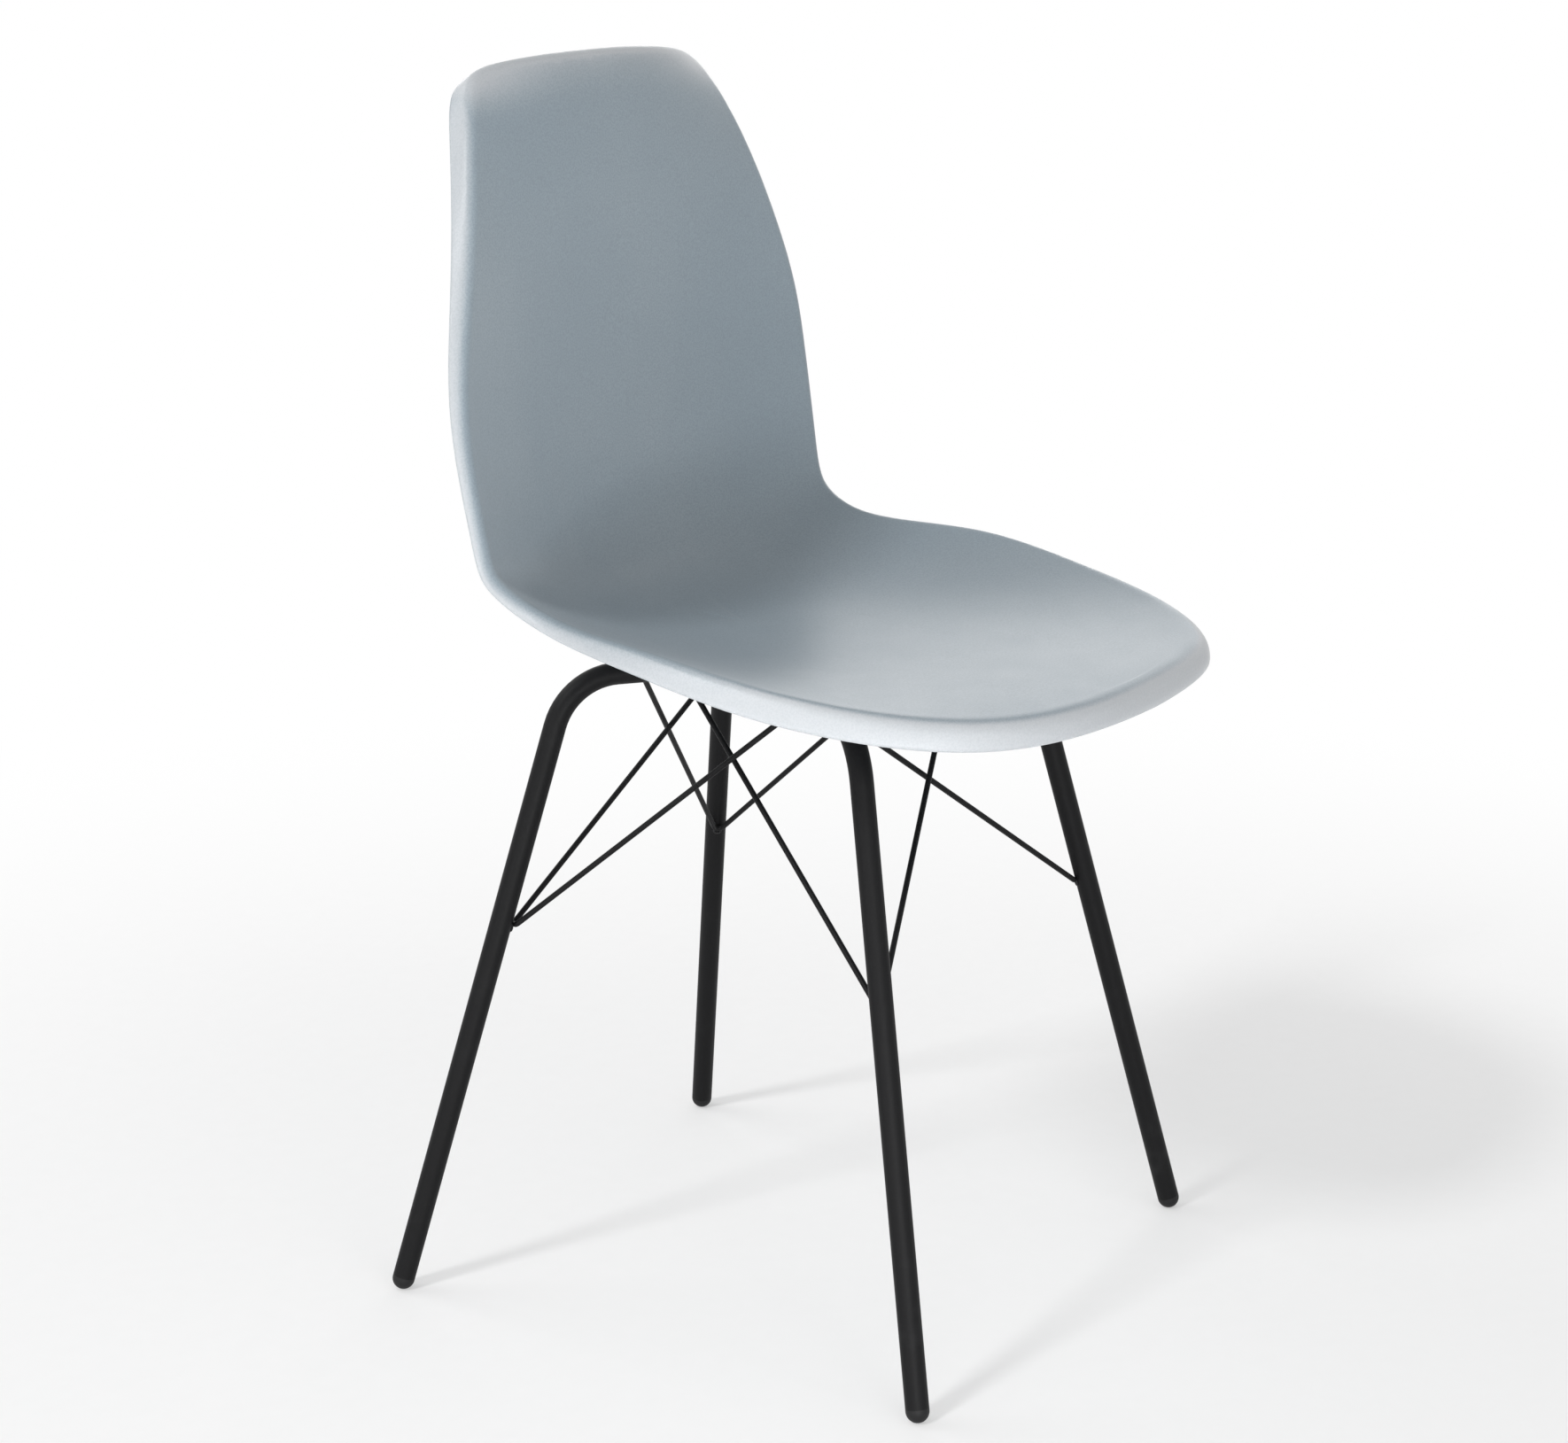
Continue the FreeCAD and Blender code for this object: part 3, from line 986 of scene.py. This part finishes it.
@dataclass
class Studio:
    """The pale floor, the lamps, the surroundings and the camera."""

    camera_place: Place = (-1.9238, -1.0702, 0.9797)
    camera_turn: float = -59.98
    camera_dip: float = 14.64
    focal_pixels: float = 3648.7
    picture_width: float = 1770.0
    sensor: float = 36.0
    farthest: float = 60.0
    floor_reach: float = 30.0
    floor_cuts: int = 6
    floor_fleck_per_metre: float = 60.0
    floor_tones: tuple[Colour, Colour] = ((0.90, 0.90, 0.90), (0.94, 0.94, 0.94))
    near_glow: float = 0.38
    glow_from: float = 0.5
    glow_full: float = 1.7
    surround: float = 0.38
    sun_run: Place = (0.71, -0.217, -0.67)
    sun_strength: float = 1.15
    sun_spread: float = 10.0
    key_box: SoftBox = SoftBox("rear_soft_box", (-0.3, 2.0, 2.0), (0, 0, 0.5), 1.6, 1.0, 14.0)
    side_box: SoftBox = SoftBox("side_soft_box", (-2.0, 0.3, 0.30), (0, 0.1, 0.5), 1.2, 0.5, 6.0)
    rim_box: SoftBox = SoftBox("far_rim_soft_box", (2.2, 1.25, 1.15), (0, 0, 0.6), 2.5, 0.8, 13.0)
    low_box: SoftBox = SoftBox("low_soft_box", (-1.4, -1.1, 0.25), (0, -0.1, 0.5), 1.2, 0.3, 15.0)
    front_box: SoftBox = SoftBox("front_soft_box", (-0.8, -1.8, 1.9), (0, 0, 0.5), 1.6, 1.2, 7.0)

    def floor(self) -> None:
        """A pale floor that shows white but keeps the chair's soft shadow."""
        Workshop.clear_selection()
        bpy.ops.mesh.primitive_plane_add(size=self.floor_reach * 2, location=(0, 0, 0))
        piece = bpy.context.object
        piece.name = "studio_floor"
        bpy.ops.object.mode_set(mode="EDIT")
        bpy.ops.mesh.subdivide(number_cuts=self.floor_cuts)
        bpy.ops.object.mode_set(mode="OBJECT")
        material = bpy.data.materials.new("pale_floor")
        material.use_nodes = True
        bench = ShaderBench(material.node_tree)
        path = bench.node("ShaderNodeLightPath", {}, {})
        camera = Signal(bench, path.outputs["Is Camera Ray"])
        glossy = Signal(bench, path.outputs["Is Glossy Ray"])
        fleck = bench.noise(self.floor_fleck_per_metre, 3.0)
        tone = bench.blend(fleck, *self.floor_tones)
        matt = bench.add("ShaderNodeBsdfDiffuse", {}, {"Color": tone})
        glow = bench.add("ShaderNodeEmission", {}, {"Color": WHITE, "Strength": 1.0})
        reach = bench.add("ShaderNodeVectorMath", {"operation": "LENGTH"}, {0: bench.place()}, "Value")
        far = reach.ramp(self.glow_from, self.glow_full)
        share = camera.most(glossy) * (self.near_glow + far * (1.0 - self.near_glow))
        mixed = bench.add("ShaderNodeMixShader", {}, {0: share, 1: matt, 2: glow})
        bench.node("ShaderNodeOutputMaterial", {}, {"Surface": mixed})
        dress(piece, material)

    def surroundings(self) -> None:
        """Even light all round, which the camera and reflections see as white."""
        world = bpy.data.worlds.new("studio_surround")
        bpy.context.scene.world = world
        world.use_nodes = True
        bench = ShaderBench(world.node_tree)
        path = bench.node("ShaderNodeLightPath", {}, {})
        camera = Signal(bench, path.outputs["Is Camera Ray"])
        glossy = Signal(bench, path.outputs["Is Glossy Ray"])
        strength = self.surround + camera.most(glossy) * (1.0 - self.surround)
        inputs = {"Color": WHITE, "Strength": strength}
        glow = bench.add("ShaderNodeBackground", {}, inputs)
        bench.node("ShaderNodeOutputWorld", {}, {"Surface": glow})

    def sun(self) -> None:
        """A soft sun at the angle at which the photograph's leg shadows fall."""
        light = bpy.data.lights.new("shadow_sun", "SUN")
        light.energy = self.sun_strength
        light.angle = math.radians(self.sun_spread)
        lamp = bpy.data.objects.new("shadow_sun", light)
        bpy.context.scene.collection.objects.link(lamp)
        lamp.rotation_euler = Vector(self.sun_run).to_track_quat("-Z", "Y").to_euler()

    def lamps(self) -> None:
        """A soft sun, high panels behind and in front, one at the far rim and two low ones."""
        self.sun()
        for box in (self.key_box, self.side_box, self.rim_box, self.low_box, self.front_box):
            box.build()

    def camera(self) -> None:
        """The camera at the photograph's place and angle."""
        turn = math.radians(self.camera_turn)
        dip = math.radians(self.camera_dip)
        back = Vector((
            math.sin(turn) * math.cos(dip),
            -math.cos(turn) * math.cos(dip),
            math.sin(dip),
        ))
        right = Vector((math.cos(turn), math.sin(turn), 0.0))
        up = back.cross(right)
        data = bpy.data.cameras.new("studio_camera")
        data.sensor_fit = "HORIZONTAL"
        data.sensor_width = self.sensor
        data.lens = self.focal_pixels * self.sensor / self.picture_width
        data.clip_end = self.farthest
        camera = bpy.data.objects.new("studio_camera", data)
        bpy.context.scene.collection.objects.link(camera)
        turned = Matrix((right, up, back)).transposed().to_4x4()
        camera.matrix_world = Matrix.Translation(Vector(self.camera_place)) @ turned
        bpy.context.scene.camera = camera

    def build(self) -> None:
        """Set the whole studio up."""
        bpy.context.scene.view_settings.view_transform = "Standard"
        self.floor()
        self.surroundings()
        self.lamps()
        self.camera()
        LOG.info("built the studio")


def main() -> None:
    """Dress the chair piece by piece and set the studio up round it."""
    logging.basicConfig(level=logging.INFO)
    SeatShell().dress()
    TubeFrame().build()
    FootPlugs().dress()
    ShellMounting().dress()
    Studio().build()


if __name__ == "__main__":
    main()
